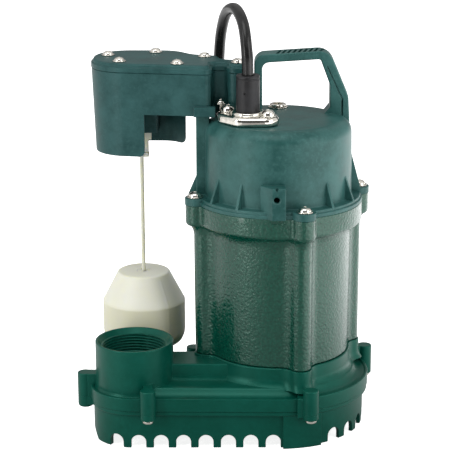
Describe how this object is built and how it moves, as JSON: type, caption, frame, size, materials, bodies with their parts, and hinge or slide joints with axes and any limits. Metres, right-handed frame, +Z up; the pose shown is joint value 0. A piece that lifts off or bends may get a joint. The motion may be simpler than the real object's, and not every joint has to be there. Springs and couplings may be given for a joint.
{
  "type": "submersible sump pump",
  "caption": "Upright submersible sump pump: strainer base and volute with a threaded vertical discharge, lobed motor, handled cap, and a switch case with a float sliding on its rod.",
  "frame": {"origin": "the middle of the bounding box's footprint, on the floor that the strainer stands on; the motor axis is at x 0.03744, y -0.0211", "axes": "+Z up, along the motor axis; the discharge socket and float are on the -X side; the cord leaves at +Y, behind"},
  "size_m": [0.2204, 0.1934, 0.3123],
  "materials": {
    "base_plastic": "moulded, satin gloss",
    "motor_enamel": "gloss enamel over cast iron, orange peel",
    "cap_plastic": "moulded, satin, slightly mottled",
    "float_plastic": "ivory, satin",
    "black_rubber": "satin",
    "black_plastic": "satin",
    "chrome": "polished",
    "steel": "turned",
    "bearing_steel": "ground",
    "aluminium": "cast",
    "copper_winding": "varnished copper wire",
    "brass": "polished",
    "seal_ceramic": "lapped"
  },
  "bodies": {
    "pump": {"base_screen": "base_plastic", "pump_volute": "base_plastic", "base_bolt_1": "chrome", "base_bolt_2": "chrome", "base_bolt_3": "chrome", "base_bolt_4": "chrome", "base_bolt_5": "chrome", "base_bolt_6": "chrome", "volute_gasket": "black_rubber", "motor_housing": "motor_enamel", "cap_gasket": "black_rubber", "stator_core": "steel", "stator_winding": "copper_winding", "thermal_protector": "black_plastic", "bearing_bracket": "aluminium", "upper_bearing": "bearing_steel", "lower_bearing": "bearing_steel", "shaft_seal_seat": "seal_ceramic", "motor_cap": "cap_plastic", "cap_screw_1": "chrome", "cap_screw_2": "chrome", "cap_screw_3": "chrome", "cap_screw_4": "chrome", "oil_fill_plug": "chrome", "oil_plug_washer": "chrome", "cord_clamp": "chrome", "clamp_screw_1": "chrome", "clamp_screw_2": "chrome", "strain_relief": "black_rubber", "power_cord": "black_rubber", "plug_body": "black_rubber", "plug_blade_1": "brass", "plug_blade_2": "brass", "plug_ground_pin": "brass", "switch_case": "cap_plastic", "case_screw_1": "chrome", "case_screw_2": "chrome", "cover_gasket": "black_rubber", "switch_cover": "cap_plastic", "cover_screw_1": "chrome", "cover_screw_2": "chrome", "cover_screw_3": "chrome", "cover_screw_4": "chrome", "cover_screw_5": "chrome", "cover_screw_6": "chrome", "snap_switch": "black_plastic", "lever_pin": "steel"},
    "rotor": {"motor_shaft": "steel", "rotor_core": "steel", "impeller": "black_plastic", "impeller_screw": "chrome", "shaft_seal_head": "black_rubber"},
    "float_linkage": {"float_rod": "float_plastic", "rod_carrier": "float_plastic", "float_stop": "float_plastic"},
    "float": {"float": "float_plastic"},
    "lever": {"switch_lever": "steel"},
    "button": {"switch_button": "float_plastic"}
  },
  "joints": [
    {"name": "rotor_spin", "type": "hinge", "parent": "pump", "child": "rotor", "pos_m": [0.03744, -0.0211, 0.1], "axis": [0, 0, 1], "continuous": true},
    {"name": "rod_lift", "type": "slide", "parent": "pump", "child": "float_linkage", "axis": [0, 0, 1], "range_m": [0, 0.006]},
    {"name": "float_rise", "type": "slide", "parent": "float_linkage", "child": "float", "axis": [0, 0, 1], "range_m": [0, 0.088]},
    {"name": "lever_swing", "type": "hinge", "parent": "pump", "child": "lever", "pos_m": [-0.02856, 0.0089, 0.2475], "axis": [0, 1, 0], "range_deg": [0, 11.7]},
    {"name": "button_travel", "type": "slide", "parent": "pump", "child": "button", "axis": [0, 0, 1], "range_m": [0, 0.0014]}
  ],
  "couplings": [
    {"joint": "lever_swing", "follows": "rod_lift", "rad_per_m": 33.75},
    {"joint": "button_travel", "follows": "rod_lift", "ratio": 0.2333}
  ]
}
